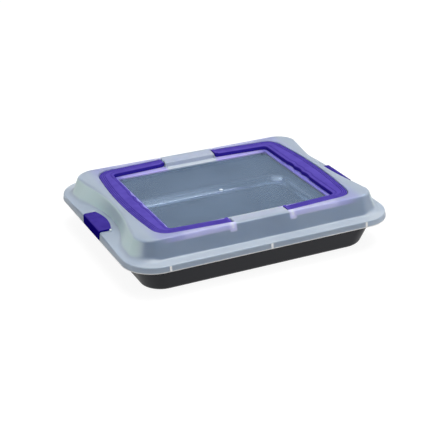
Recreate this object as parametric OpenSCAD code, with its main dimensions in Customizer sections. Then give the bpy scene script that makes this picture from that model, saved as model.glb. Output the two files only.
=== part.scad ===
// Cake pan with a clip-on carrying lid.
// Origin: bottom centre of the pan. X runs along the long side, Y to the back, Z up.

/* [Lid] */
// Length of the lid over its skirt
lid_len = 405; // [380:1:440]
// Width of the lid over its skirt
lid_wid = 325; // [300:1:360]
// Wall thickness of the lid
lid_wall = 1.6; // [1.2:0.1:2.2]
// Corner radius of the skirt
lid_corner_r = 46; // [38:1:52]
// Height of the skirt from its lower edge to the flange top
skirt_h = 9.4; // [7:0.1:12]
// How far the flange rises at the clips
end_rise = 3; // [0:0.1:4]
// How far the skirt spreads from top to bottom
skirt_spread = 1.2; // [0:0.1:2]
// Height of the dome above the flange
dome_h = 26.6; // [22:0.1:40]
// Width of the flange beside the dome on the long sides
ledge_w = 18; // [12:0.5:24]
// Width of the flange beside the dome's corners on the short sides
end_ledge_w = 12.5; // [10:0.5:18]
// How far the long walls of the dome lean in
dome_lean = 10.5; // [4:0.5:16]
// How far the corners of the short walls lean in
end_lean = 9; // [4:0.5:14]
// Corner radius of the dome at the flange
dome_corner_r = 34; // [30:1:44]
// Corner radius of the dome at its top
dome_top_corner_r = 26; // [20:1:32]
// Rounding between the dome's wall and its top
dome_edge_r = 2.2; // [1:0.1:3]
// Depth of the scoop in each short wall, at the flange
scoop_depth = 20.5; // [16:0.5:26]
// Radius of the scoop at the flange
scoop_r = 170; // [150:1:200]
// Radius of the scoop at the top
scoop_top_r = 420; // [350:5:500]
// How far the middle of the scoop leans in
scoop_lean = 1.5; // [0:0.1:3]
// Width over which the scoop blends into the wall
scoop_blend = 6; // [3:0.5:14]
// Depth of the recess that holds the handles
recess_depth = 7.5; // [6.5:0.1:10]
// Further depth of the centre panel
panel_step = 3; // [2:0.1:5]
// Width of the ledge between the handles and the panel
panel_ledge = 9; // [3:0.5:12]
// Half length of the bridge between the two handles
bridge_half = 41; // [36:0.5:41.5]
// Distance of the outer centring ribs from the ends of the lid
rib_inset = 52.5; // [48:0.5:80]

/* [Pan] */
// Height of the pan
pan_h = 51.5; // [45:0.1:60]
// Thickness of the sheet
sheet = 0.6; // [0.5:0.1:1]
// Slope of the walls from upright, in degrees
wall_angle = 19.5; // [12:0.5:22]
// Rounding between the floor and the walls
floor_edge_r = 10; // [6:0.5:14]
// Corner radius of the floor
floor_corner_r = 26; // [20:1:32]
// Corner radius of the mouth
mouth_corner_r = 36; // [32:1:40]
// Width of the flat rim with its bead
rim_w = 10; // [8:0.5:12]
// Radius of the rolled bead
bead_r = 1.7; // [1.4:0.1:2]
// How far the lid reaches past the pan's rim at each end
end_room = 4.9; // [4.7:0.1:6]
// Gap between the bead and the long skirts
rim_gap = 1.9; // [1.3:0.1:3]
// Gap between the rim and the flange that rests on it
seat_gap = 0.3; // [0.1:0.05:0.5]

/* [Handles] */
// Thickness of the handles
handle_t = 7; // [6:0.1:7]
// Width of the handle arms
arm_w = 16; // [13:0.5:18]
// Width of the grips
grip_w = 28.5; // [24:0.5:30]
// Distance of each hinge axis from the middle
hinge_x = 46; // [46:0.1:50]
// Inward lean of the arms per unit of length
arm_lean = 0.06; // [0:0.01:0.08]
// Bulge of the grip's outer edge as a radius
grip_bulge_r = 600; // [500:10:1500]
// Size of the outer corners
grip_corner = 28; // [20:1:34]
// Pitch of the finger scallops
scallop_pitch = 27; // [24:0.5:30]
// Depth of the finger scallops
scallop_depth = 3.2; // [1:0.1:4]
// Distance of the fine groove from the handle's outer edge
groove_in = 5.9; // [4:0.1:7]
// Distance of the fine line from the handle's inner edge
line_in = 5; // [3:0.1:6]
// Depth of the groove and the line
groove_d = 0.5; // [0.2:0.1:0.8]
// How much further the inner edge of the arms falls
arm_fall = 1.3; // [0:0.1:2]
// Pitch of the stiffening ribs under the arms
arm_rib_pitch = 20; // [14:1:30]
// Thickness of the stiffening ribs
rib_t = 1.2; // [0.8:0.1:2]
// Wall of the handle around its hollow underside
handle_wall = 2; // [1.6:0.1:2.6]
// Width of the lid's lip outside the arms, at the hinge
lip_w = 7; // [6:0.1:9]
// Width of the lid's lip outside the grips
end_lip_w = 9.9; // [8:0.1:11]
// Gap around the handles in their recess
handle_gap = 0.8; // [0.5:0.1:1.2]
// Radius of the handle pins
pin_r = 2; // [1.6:0.1:2.3]
// Length of the handle pins
pin_len = 4; // [3:0.1:4.2]
// Radial play of every pin in its bore
pin_play = 0.08; // [0.04:0.01:0.1]

/* [Clips] */
// Length of the clips along the short side
clip_len = 64; // [50:1:70]
// Depth of the clip's top plate
clip_depth = 24; // [22:0.5:25]
// Radius of the top plate's inner edge
clip_arc_r = 86; // [80:1:140]
// Thickness of the top plate
clip_plate_t = 2.6; // [2.4:0.1:3]
// Thickness of the outer plate
clip_wall = 2.6; // [1.8:0.1:2.8]
// Height of the clip
clip_h = 15.6; // [14:0.1:18]
// Rounding of the clip's outer edge
clip_edge_r = 3; // [1:0.1:3]
// Gap between the pan's bead and the outer plate
clip_gap = 2.3; // [2.1:0.1:2.6]
// How far the hook reaches under the bead
hook_bite = 0.9; // [0.4:0.1:1]
// Gap between the hook and the bead's underside
hook_gap = 1.1; // [1:0.1:2]
// Height of the hook
hook_h = 2.6; // [2:0.1:3.5]
// Distance of the hinge axis from the clip's outer face
clip_arm = 17; // [16.8:0.1:17.4]
// Radius of the clip pins
clip_pin_r = 0.9; // [0.8:0.05:1]
// Length of the clip pins
clip_pin_len = 2.6; // [2:0.1:3]
// Gap around the clip in the flange
clip_play = 0.4; // [0.3:0.05:0.6]
// Width of the ears that hold the clips
ear_w = 2.5; // [2:0.1:3]

/* [Hidden] */
$fn = 48;

// Heights
flange_z = pan_h + seat_gap + lid_wall;
skirt_z = flange_z - skirt_h;
top_z = flange_z + dome_h;
recess_z = top_z - recess_depth;
panel_z = recess_z - panel_step;
seat_z = flange_z + end_rise;

// Half sizes of the lid
skirt_x = lid_len / 2;
skirt_y = lid_wid / 2;
base_x = skirt_x - end_ledge_w;
base_y = skirt_y - ledge_w;
dome_x = base_x - end_lean;
dome_y = base_y - dome_lean;
scoop_x = base_x - scoop_depth;
scoop_top_x = scoop_x - scoop_lean;
wall_run = lid_wall * sqrt(1 + pow(dome_lean / dome_h, 2));

lip_edge_r = 0.6;

// Half sizes of the pan
rim_x = skirt_x - end_room;
rim_y = skirt_y - lid_wall - rim_gap;
mouth_x = rim_x - rim_w;
mouth_y = rim_y - rim_w;
floor_run = pan_wall_out(pan_h - sheet);
floor_x = mouth_x - floor_run;
floor_y = mouth_y - floor_run;

// Places of the handles
hinge_y = dome_y - lip_w;
hinge_z = top_z - handle_t / 2;
grip_out = scoop_top_x - end_lip_w;
grip_in = grip_out - grip_w;
knuckle_r = handle_t / 2 - 0.1;
corner_y = hinge_y - arm_lean * (grip_out - hinge_x) - grip_corner;
scallops = 4;
scallop_steps = 6;
scallop_half = scallops / 2 * scallop_pitch;
inner_corner = 7;

// Places of the clips
clip_in_face = rim_x + clip_gap;
clip_face = clip_in_face + clip_wall;
clip_edge = clip_face - clip_depth;
clip_under = seat_z + 0.3;
clip_top = clip_under + clip_plate_t;
clip_axis_x = clip_face - clip_arm;
clip_axis_z = clip_under + 1;
ear_r = clip_pin_r + 0.85;
hook_top = pan_h - 2 * bead_r - hook_gap;

// One value between a and b
function mix(a, b, t) = a + (b - a) * t;

// The lower of two lengths, blended over the width k where they meet
function soft_min(a, b, k) = min(a, b) - pow(max(k - abs(a - b), 0), 2) / (4 * k);

// The part of a circle about [cx, cy]
function arc(cx, cy, r, from, to, steps) =
    [for (i = [0:steps]) [cx + r * cos(mix(from, to, i / steps)), cy + r * sin(mix(from, to, i / steps))]];

// The whole outline from its quarter, which runs from the X axis round towards the Y axis
function tail(q) = [for (i = [1:len(q) - 1]) q[i]];
function turned(q) = [for (i = [len(q) - 1:-1:0]) q[i]];
function whole(q) = concat(
    q,
    turned([for (p = q) [-p[0], p[1]]]),
    tail([for (p = q) [-p[0], -p[1]]]),
    turned(tail([for (p = q) [p[0], -p[1]]])));

// A rounded rectangle with half sizes hx and hy; its short sides are scooped in to sx by an arc of radius sr
side_steps = 13;
corner_steps = 7;
function scooped(y, hx, sx, sr) = soft_min(hx, sx + sr - sqrt(sr * sr - y * y), scoop_blend);
function scooped_ring(hx, hy, r, sx, sr) = whole(concat(
    [for (i = [0:side_steps - 1]) let (y = (hy - r) * i / side_steps) [scooped(y, hx, sx, sr), y]],
    arc(hx - r, hy - r, r, 0, 90, corner_steps),
    [[hinge_x, hy]]));

// The same with straight short sides
function plain_ring(hx, hy, r) = scooped_ring(hx, hy, r, 2 * hx, 4 * hy);
function lift(points, z) = [for (p = points) [p[0], p[1], z]];

// The same for the rings of the flange, which rises towards the clips
rise_from = clip_len / 2 + ear_w + 2.5;
rise_to = skirt_y - lid_corner_r - 6;
function rise(y) = end_rise * (1 + cos(180 * min(max((abs(y) - rise_from) / (rise_to - rise_from), 0), 1))) / 2;
function lift_flange(points, z) = [for (p = points) [p[0], p[1], z + rise(p[1])]];

// A solid through rings that all have as many points; closed joins the last ring to the first
module loft(rings, closed = false) {
    n = len(rings[0]);
    last = len(rings) - 1;
    middle = function(r) [for (c = [0:2]) (min([for (p = r) p[c]]) + max([for (p = r) p[c]])) / 2];
    sides = [for (k = [0:closed ? last : last - 1]) for (i = [0:n - 1])
        let (j = (i + 1) % n, a = k * n, b = (k + 1) % len(rings) * n)
        each [[a + i, b + i, b + j], [a + i, b + j, a + j]]];
    centre = len(rings) * n;
    caps = closed ? [] : [for (i = [0:n - 1]) let (j = (i + 1) % n)
        each [[centre, i, j], [centre + 1, last * n + j, last * n + i]]];
    ends = closed ? [] : [middle(rings[0]), middle(rings[last])];
    polyhedron(concat([for (r = rings) each r], ends), concat(sides, caps), convexity = 10);
}

// Outline of the dome at the height z, shrunk by inset
function dome_ring(z, inset) =
    let (t = (z - flange_z) / dome_h)
    scooped_ring(mix(base_x, dome_x, t) - inset, mix(base_y, dome_y, t) - inset,
        mix(dome_corner_r, dome_top_corner_r, t) - inset,
        mix(scoop_x, scoop_top_x, t) - inset, mix(scoop_r, scoop_top_r, t) + inset);

// Outline of the skirt; t runs from its lower edge to the flange
function skirt_ring(t, inset) =
    plain_ring(skirt_x - skirt_spread * t - inset, skirt_y - skirt_spread * t - inset, lid_corner_r - inset);

// Outer edge of an arm and of a grip
function arm_out(x) = hinge_y - arm_lean * (x - hinge_x);
function grip_edge(y) = grip_out - y * y / (2 * grip_bulge_r);
function grip_inner(y) =
    grip_in + (abs(y) < scallop_half ? scallop_depth * abs(sin(180 * y / scallop_pitch)) : 0);

// A corner curve from a to b with its control point c
function bend(a, c, b, steps) =
    [for (i = [0:steps]) let (t = i / steps) (1 - t) * (1 - t) * a + 2 * t * (1 - t) * c + t * t * b];

// Where the tangent of the grip's outer edge at corner_y meets the line of the arm
corner_slope = corner_y / grip_bulge_r;
corner_x = (grip_edge(corner_y) - corner_slope * (hinge_y + arm_lean * hinge_x - corner_y))
    / (1 - corner_slope * arm_lean);

// Outer and inner edge of the back half of the right handle, from the hinge to the grip
bend_steps = corner_steps;
inner_y = arm_out(grip_in) - arm_w;
outer_bend = bend(
    [corner_x - grip_corner, arm_out(corner_x - grip_corner)], [corner_x, arm_out(corner_x)],
    [grip_edge(corner_y), corner_y], bend_steps);
inner_bend = bend(
    [grip_in - inner_corner, arm_out(grip_in - inner_corner) - arm_w], [grip_in, inner_y],
    [grip_in, inner_y - inner_corner], bend_steps);
arm_places = [hinge_x, hinge_x + 5, hinge_x + 6];
outer_back = concat([for (x = arm_places) [x, arm_out(x)]], outer_bend);
inner_back = concat([for (x = arm_places) [x, arm_out(x) - arm_w]], inner_bend);
function mirrored(points) = turned([for (p = points) [p[0], -p[1]]]);

// Places along the grip, so that each scallop has scallop_steps of them
scallop_count = scallops * scallop_steps;
grip_places = [for (i = [0:scallop_count]) mix(scallop_half, -scallop_half, i / scallop_count)];
grip_share = corner_y / (inner_y - inner_corner);
outer_edge = concat(
    outer_back,
    [for (y = grip_places) [grip_edge(y * grip_share), y * grip_share]],
    mirrored(outer_back));
inner_edge = concat(
    inner_back,
    [for (y = grip_places) [grip_inner(y), y]],
    mirrored(inner_back));

// The underside is hollow between the closed ends of the arms
function hollow(k) = k < 2 || k > len(outer_edge) - 3 ? 0 : 1;

// How much station k belongs to an arm: 1 along the arms, 0 along the grip
function arm_share(k) = min(max((len(arm_places) + bend_steps - min(k, len(outer_edge) - 1 - k)) / bend_steps, 0), 1);

// Section of a handle: [side, distance in from that side's edge, height below the top, 1 in the hollow];
// side 0 is the outer one. The inner edge falls further along the arms
function handle_section(share) = let (fall = arm_fall * share) [
    [0, 0, handle_t, 0], [0, 0, 2, 0], [0, 1.6, 0.4, 0], [0, 3, 0, 0],
    [0, groove_in - 0.5, 0.1, 0], [0, groove_in, 0.1 + groove_d, 0], [0, groove_in + 0.6, 0.2, 0],
    [1, line_in + 0.6, 0.6, 0], [1, line_in, 0.6 + groove_d, 0], [1, line_in - 0.6, 0.8 + 0.2 * fall, 0],
    [1, 1, 1.2 + 0.8 * fall, 0], [1, 0, 2.2 + fall, 0],
    [1, 0, handle_t, 0], [1, handle_wall, handle_t, 0], [1, handle_wall + 0.3, 3 + 0.6 * fall, 1],
    [0, handle_wall + 0.6, 2.2, 1], [0, handle_wall, handle_t, 0]];
function across(o, i, s) =
    let (dir = (i - o) / norm(i - o))
    s[0] == 0 ? o + dir * s[1] : i - dir * s[1];
function section_point(k, s) =
    let (p = across(outer_edge[k], inner_edge[k], s), drop = mix(handle_t, s[2], s[3] == 0 ? 1 : hollow(k)))
    [p[0], p[1], top_z - drop];

module right_handle_shape() {
    loft([for (k = [0:len(outer_edge) - 1]) [for (s = handle_section(arm_share(k))) section_point(k, s)]]);
    for (side = [-1, 1]) {
        translate([hinge_x, side * (hinge_y - arm_w / 2), hinge_z])
            rotate([90, 0, 0]) cylinder(r = knuckle_r, h = arm_w, center = true);
        translate([hinge_x, side * (hinge_y + (pin_len - 1) / 2), hinge_z])
            rotate([90, 0, 0]) cylinder(r = pin_r, h = pin_len + 1, center = true);
        arm_ribs(side);
    }
    grip_ribs();
}

// Stiffening ribs in the hollow underside
rib_top = top_z - 2.4;
rib_foot = top_z - handle_t + 0.8;
module arm_ribs(side) {
    for (x = [hinge_x + arm_rib_pitch:arm_rib_pitch:grip_in - arm_rib_pitch / 2])
        translate([x - rib_t / 2, side * (arm_out(x) - arm_w / 2) - (arm_w - 2 * handle_wall + 1) / 2, rib_foot])
            cube([rib_t, arm_w - 2 * handle_wall + 1, rib_top - rib_foot]);
}
module grip_ribs() {
    for (k = [-scallops / 2:scallops / 2])
        translate([grip_in + handle_wall - 0.6, k * scallop_pitch - rib_t / 2, rib_foot])
            cube([grip_edge(k * scallop_pitch) - grip_in - 2 * handle_wall + 1, rib_t, rib_top - rib_foot]);
}

// Outline of the recess: the outer edge of both handles, moved out by grow
function outward(points, grow) =
    [for (i = [0:len(points) - 1])
        let (d = points[min(i + 1, len(points) - 1)] - points[max(i - 1, 0)])
        points[i] + grow * [d[1], -d[0]] / norm(d)];
function recess_ring(grow) = whole(outward(concat(
    [for (i = [0:side_steps - 1]) let (y = corner_y * i / side_steps) [grip_edge(y), y]],
    turned(outer_bend),
    [[hinge_x, hinge_y]]), grow));

// Outline of the centre panel
panel_x = grip_in - panel_ledge;
panel_y = inner_y - panel_ledge;
panel_corner_r = 8;
function panel_ring(grow) = plain_ring(panel_x + grow, panel_y + grow, panel_corner_r + grow);

// The lid as one shell: its underside from the centre out to the skirt, then its top back to the centre
module lid_shell() {
    roof = top_z - lid_wall;
    under = flange_z - lid_wall;
    grown = handle_gap + lid_wall;
    shoulder = [for (a = [0:22.5:90]) dome_edge_r * [1 - cos(a), 1 - sin(a)]];
    underside = [
        lift(panel_ring(lid_wall), panel_z - lid_wall),
        lift(panel_ring(lid_wall), recess_z - lid_wall),
        lift(recess_ring(grown), recess_z - lid_wall),
        lift(recess_ring(grown), roof),
        lift(dome_ring(roof, wall_run + 0.8), roof),
        lift(dome_ring(roof - 0.8, wall_run), roof - 0.8),
        lift_flange(dome_ring(flange_z + 0.6, wall_run), flange_z + 0.6),
        lift_flange(dome_ring(flange_z, wall_run - 0.8), under),
        lift_flange(skirt_ring(1, lid_wall), under),
        lift(skirt_ring(0, lid_wall), skirt_z)];
    outside = [
        lift(skirt_ring(0, 0), skirt_z),
        lift_flange(skirt_ring(0.9, 0), flange_z - 1),
        lift_flange(skirt_ring(1, 0.3), flange_z - 0.3),
        lift_flange(skirt_ring(1, 1), flange_z),
        lift_flange(dome_ring(flange_z, -1.2), flange_z),
        lift_flange(dome_ring(flange_z + 0.4, -0.3), flange_z + 0.4),
        lift_flange(dome_ring(flange_z + 1.4, 0), flange_z + 1.4)];
    top = [
        lift(recess_ring(handle_gap + lip_edge_r), top_z),
        lift(recess_ring(handle_gap), top_z - lip_edge_r),
        lift(recess_ring(handle_gap), recess_z),
        lift(panel_ring(0), recess_z),
        lift(panel_ring(0), panel_z)];
    loft(concat(underside, outside,
        [for (s = shoulder) lift(dome_ring(top_z - s[1], s[0]), top_z - s[1])], top));
}

// The bridge between the two handles at each long side, and the hollow under it
module bridge(hollow) {
    wall = hollow ? lid_wall : 0;
    foot = hollow ? recess_z - 2 * lid_wall : recess_z - lid_wall / 2;
    inner = hinge_y - arm_w + wall;
    outer = hinge_y + handle_gap + (hollow ? -0.2 : lid_wall / 2);
    head = top_z - 0.1 - wall;
    for (side = [-1, 1])
        translate([0, side * (inner + outer) / 2, (foot + head) / 2])
            cube([2 * (bridge_half - wall), outer - inner, head - foot], center = true);
}

// Solid boss behind each handle pin, between the recess and the dome's wall
boss_half = 4.5;
function dome_wall_y(z) = mix(base_y, dome_y, (z - flange_z) / dome_h);
module hinge_boss(side_x, side_y) {
    low = recess_z - lid_wall / 2;
    high = top_z - lid_wall / 2;
    inner = hinge_y + handle_gap + lid_wall / 2;
    translate([side_x * hinge_x - boss_half, 0, 0])
        rotate([90, 0, 90]) linear_extrude(2 * boss_half)
            polygon([
                [side_y * inner, low], [side_y * (dome_wall_y(low) - wall_run / 2), low],
                [side_y * (dome_wall_y(high) - wall_run / 2), high - 0.6], [side_y * inner, high - 0.6]]);
}

// Ear for a clip pin, standing on the flange
ear_y = clip_len / 2 + clip_play + 0.1;
module clip_ear(side_y) {
    translate([clip_axis_x, side_y * (ear_y + ear_w / 2), clip_axis_z])
        rotate([90, 0, 0]) cylinder(r = ear_r, h = ear_w, center = true);
    translate([clip_axis_x - ear_r, side_y * (ear_y + ear_w / 2) - ear_w / 2, seat_z - lid_wall / 2])
        cube([2 * ear_r, ear_w, clip_axis_z - seat_z + lid_wall / 2]);
}

// Top view of the clip, grown by grow
module clip_plan(grow) {
    intersection() {
        translate([clip_edge + clip_arc_r, 0]) circle(r = clip_arc_r + grow, $fn = 180);
        translate([clip_edge - grow, -clip_len / 2 - grow])
            square([clip_depth + 2 * grow, clip_len + 2 * grow]);
    }
}

// The slot for the clip's tail and the notch for its hook
module clip_openings() {
    slot_out = clip_axis_x + 1.9;
    translate([0, 0, seat_z - 3]) linear_extrude(4)
        intersection() {
            clip_plan(clip_play);
            translate([clip_edge - 1, -clip_len]) square([slot_out - clip_edge + 1, 2 * clip_len]);
        }
    translate([rim_x + clip_play, -clip_len / 2 - clip_play, skirt_z - 1])
        cube([end_room + 1, clip_len + 2 * clip_play, seat_z - skirt_z + 2]);
}

// Thin ribs inside the long skirts that centre the pan's rim
module centring_ribs() {
    inner = rim_y + seat_gap;
    outer = skirt_y - skirt_spread - 0.3;
    for (side = [-1, 1]) for (k = [-1:1])
        translate([k * (skirt_x - rib_inset), side * (inner + outer) / 2, skirt_z + skirt_h / 2])
            cube([1.6, outer - inner, skirt_h - lid_wall], center = true);
}

module lid() {
    color("lightsteelblue") difference() {
        union() {
            lid_shell();
            bridge(false);
            for (x = [-1, 1]) for (y = [-1, 1]) hinge_boss(x, y);
            for (turn = [0, 180]) for (y = [-1, 1]) rotate(turn) clip_ear(y);
            translate([0, 0, panel_z - 0.3]) cylinder(r = 1.3, h = 0.7);
            centring_ribs();
        }
        bridge(true);
        for (turn = [0, 180]) rotate(turn) clip_openings();
        for (x = [-1, 1]) for (y = [-1, 1])
            translate([x * hinge_x, y * (hinge_y + pin_len / 2), hinge_z])
                rotate([90, 0, 0]) cylinder(r = pin_r + pin_play, h = pin_len + 0.8, center = true);
        for (turn = [0, 180]) rotate(turn)
            translate([clip_axis_x, 0, clip_axis_z])
                rotate([90, 0, 0]) cylinder(r = clip_pin_r + pin_play, h = clip_len + 4 * ear_w, center = true);
    }
}

// Outside of the pan's wall: distance out from the floor's edge at the height z, above the rounding
function pan_wall_out(z) =
    floor_edge_r * cos(wall_angle) + (z - floor_edge_r * (1 - sin(wall_angle))) * tan(wall_angle);

// Ring of the pan at the distance out from the floor's edge
function pan_ring(out, z) =
    let (r = mix(floor_corner_r, mouth_corner_r, max(out, 0) / floor_run))
    lift(whole(concat([[floor_x + out, 0]], arc(floor_x + out - r, floor_y + out - r, r, 0, 90, 8))), z);

module pan() {
    lap = 4;
    inner_r = floor_edge_r - sheet;
    rise = inner_r * (1 - sin(wall_angle)) + sheet;
    inside = sheet / cos(wall_angle);
    bead = [floor_run + rim_w - bead_r, pan_h - bead_r];
    outer_curve = arc(0, floor_edge_r, floor_edge_r, 270, 360 - wall_angle, 6);
    inner_curve = arc(0, floor_edge_r, inner_r, 360 - wall_angle, 270, 6);
    bead_start = 180 - asin((bead_r - sheet) / bead_r);
    bead_curve = arc(bead[0], bead[1], bead_r, bead_start, 450, 9);
    profile = concat(
        [[-lap, 0]], outer_curve,
        [[pan_wall_out(pan_h - sheet - 2), pan_h - sheet - 2], [floor_run + 1.2, pan_h - sheet]],
        bead_curve,
        [[floor_run + 0.6, pan_h], [pan_wall_out(pan_h - 2) - inside, pan_h - 2]],
        inner_curve, [[-lap, sheet]]);
    color("dimgray") union() {
        loft([for (p = profile) pan_ring(p[0], p[1])], closed = true);
        linear_extrude(sheet) polygon([for (p = pan_ring(-lap / 2, 0)) [p[0], p[1]]]);
    }
}

module right_handle() {
    color("slateblue") right_handle_shape();
}
module left_handle() {
    color("slateblue") mirror([1, 0, 0]) right_handle_shape();
}

// Clip with a rounded outer edge, a hook under the bead and a pin at each end
module right_clip_shape() {
    low = clip_top - clip_h;
    edge = clip_edge_r;
    intersection() {
        translate([0, -clip_len / 2, 0]) rotate([90, 0, 0]) mirror([0, 0, 1]) linear_extrude(clip_len)
            polygon(concat(
                [[clip_edge - 1, clip_under], [clip_in_face, clip_under], [clip_in_face, hook_top + 0.6],
                 [rim_x - hook_bite, hook_top], [rim_x - hook_bite, hook_top - 0.8],
                 [clip_in_face, hook_top - hook_h], [clip_in_face, low + 0.4], [clip_in_face + 0.4, low],
                 [clip_face - 0.8, low], [clip_face, low + 0.8]],
                arc(clip_face - edge, clip_top - edge, edge, 0, 90, 6),
                [[clip_edge - 1, clip_top]]));
        translate([0, 0, low - 1]) linear_extrude(clip_h + 2) clip_plan(0);
    }
    translate([clip_axis_x, 0, clip_axis_z])
        rotate([90, 0, 0]) cylinder(r = clip_pin_r, h = clip_len + 2 * clip_pin_len, center = true);
}
module right_clip() {
    color("slateblue") right_clip_shape();
}
module left_clip() {
    color("slateblue") mirror([1, 0, 0]) right_clip_shape();
}

pan();
lid();
left_handle();
right_handle();
left_clip();
right_clip();
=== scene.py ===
import math
import bmesh
import bpy
import numpy as np
from mathutils import Matrix, Vector


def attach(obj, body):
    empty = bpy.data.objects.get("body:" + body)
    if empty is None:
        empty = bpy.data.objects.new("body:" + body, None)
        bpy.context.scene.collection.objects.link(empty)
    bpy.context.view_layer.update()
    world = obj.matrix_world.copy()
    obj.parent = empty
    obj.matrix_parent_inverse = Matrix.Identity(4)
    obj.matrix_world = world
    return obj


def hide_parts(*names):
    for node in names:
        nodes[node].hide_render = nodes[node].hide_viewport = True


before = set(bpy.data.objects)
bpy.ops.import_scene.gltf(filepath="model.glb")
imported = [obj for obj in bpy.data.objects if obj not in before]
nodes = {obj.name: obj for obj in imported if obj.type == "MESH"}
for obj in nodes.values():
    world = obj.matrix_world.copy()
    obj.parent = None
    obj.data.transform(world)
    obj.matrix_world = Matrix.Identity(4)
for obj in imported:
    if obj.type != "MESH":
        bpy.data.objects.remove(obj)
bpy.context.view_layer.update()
scene = bpy.context.scene
scene.view_settings.view_transform = "Standard"
print("frame loaded:", ", ".join(sorted(nodes)))


camera = {
    "azimuth": -25.219,      # degrees, seen from the front left
    "elevation": 24.348,
    "distance": 1733.1,      # mm from the point it looks past
    "aimHeight": 40.0,       # mm
    "focal": 1174.27,        # pixels, for an image 430 wide
    "centre": (221.28, 207.84),
    "roll": -0.735,
    "imageSize": 430,
    "sensor": 36,            # mm
}


def makeCamera(c):
    # back, right and up are the camera's axes; roll turns right and up about back
    az, el, roll = (math.radians(c[k]) for k in ("azimuth", "elevation", "roll"))
    back = np.array([math.sin(az) * math.cos(el), -math.cos(az) * math.cos(el), math.sin(el)])
    right = np.array([math.cos(az), math.sin(az), 0.0])
    up = np.cross(back, right)
    right, up = (math.cos(roll) * right + math.sin(roll) * up,
                 math.cos(roll) * up - math.sin(roll) * right)
    place = np.array([0, 0, c["aimHeight"]]) + back * c["distance"]
    data = bpy.data.cameras.new("camera")
    data.sensor_width = c["sensor"]
    data.lens = c["focal"] / c["imageSize"] * c["sensor"]
    data.shift_x = (c["imageSize"] / 2 - c["centre"][0]) / c["imageSize"]
    data.shift_y = (c["centre"][1] - c["imageSize"] / 2) / c["imageSize"]
    data.dof.use_dof = False
    obj = bpy.data.objects.new("camera", data)
    matrix = np.eye(4)
    matrix[:3, 0], matrix[:3, 1], matrix[:3, 2], matrix[:3, 3] = right, up, back, place / 1000
    obj.matrix_world = Matrix(matrix.tolist())
    scene.collection.objects.link(obj)
    scene.camera = obj


makeCamera(camera)


def srgb(code):
    # an sRGB channel c becomes ((c + 0.055) / 1.055) ^ 2.4, or c / 12.92 near black
    c = np.array([int(code[i:i + 2], 16) / 255 for i in (1, 3, 5)])
    linear = np.where(c > 0.04045, ((c + 0.055) / 1.055) ** 2.4, c / 12.92)
    return (*linear.tolist(), 1.0)


def addNode(tree, kind, inputs=None, stops=(), **settings):
    # stops are the two (position, colour) of a ramp
    node = tree.nodes.new(kind)
    for name, value in settings.items():
        setattr(node, name, value)
    for key, value in (inputs or {}).items():
        if isinstance(value, bpy.types.NodeSocket):
            tree.links.new(value, node.inputs[key])
        else:
            node.inputs[key].default_value = value
    for k, (position, colour) in enumerate(stops):
        node.color_ramp.elements[k].position = position
        node.color_ramp.elements[k].color = colour
    return node


def startMaterial(name):
    material = bpy.data.materials.new(name)
    material.use_nodes = True
    tree = material.node_tree
    tree.nodes.clear()
    return material, tree, addNode(tree, "ShaderNodeTexCoord").outputs


def endMaterial(tree, shader):
    addNode(tree, "ShaderNodeOutputMaterial", {"Surface": shader.outputs[0]})


def partMask(tree, ways, steps, curve="SMOOTHSTEP"):
    # 1 within a part and 0 outside it: the product of its steps, each from 0 at start to 1 at end on its way
    mask = 1.0
    for way, start, end in steps:
        step = addNode(tree, "ShaderNodeMapRange", {
            "Value": ways[way], "From Min": start, "From Max": end}, interpolation_type=curve)
        mask = addNode(tree, "ShaderNodeMath", {0: mask, 1: step.outputs["Result"]},
                       operation="MULTIPLY").outputs[0]
    return mask


frosted = {
    "colour": "#D9E0E6",
    "clearColour": "#93ACCA",
    # colour of the end-on faces: painted light from the sides
    "paintedEndLight": "#CDE2E3",
    "ribColour": "#FFFFFF",      # of the ribs and edge of the skirt
    "throughColour": "#F4F8FC",  # of the light that comes through the panel
    # painted reflection of the handles on the plastic beside them: pale lavender by the arms, and darker
    # violet by the grips, which is painted shade as well
    "armReflection": "#C0BAFA",
    "gripShadeAndReflection": "#8E8AE0",
    "milkyAt": 0.25,             # clearness up to which the plastic has its own colour
    "clearAt": 0.70,             # and from which it has the clear one's
    "panelTone": 0.7,            # clearness that the panel is coloured for
    "roughness": 0.42,
    "ior": 1.49,                 # polypropylene
    "glow": 1.5,                 # mm that light spreads inside the plastic
    "wallVeil": 0.38,            # share of milky plastic in the long walls
    "veils": {                   # the same in other parts, each laid over the ones before it
        # the end-on faces' larger share of milky plastic makes them paler: painted light from the sides
        "ends": 0.82, "top": 0.52, "flange": 0.53, "skirt": 0.54, "recess": 0.70, "bridge": 0.56,
        "ribs": 1.0, "behindWall": 0.60, "bosses": 0.72, "pins": 0.9, "ears": 0.9, "nub": 1.0,
        "skirtEdge": 1.0},
    "sideFlangeVeil": 0.62,      # in the flange along the long sides
    "lipHandleReflection": 0.45,             # share of the painted reflection of the handles on the lip
    # shares of the painted reflection of the handles by the hinges and on the bridge
    "handleReflections": {"behindWall": 0.5, "bosses": 0.5, "pins": 0.15, "bridge": 0.12},
    "panelClear": 0.78,          # share of each face of the panel that is clear
    "cloud": 55.6,               # mm across the patches of uneven milkiness
    "uneven": 0.06,              # how much those change the clearness
    "grain": 0.9,                # mm, the moulded texture, drawn coarser than it is
    "grainDepth": 0.2,           # mm
    "grainStrength": 0.05,
}

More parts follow.
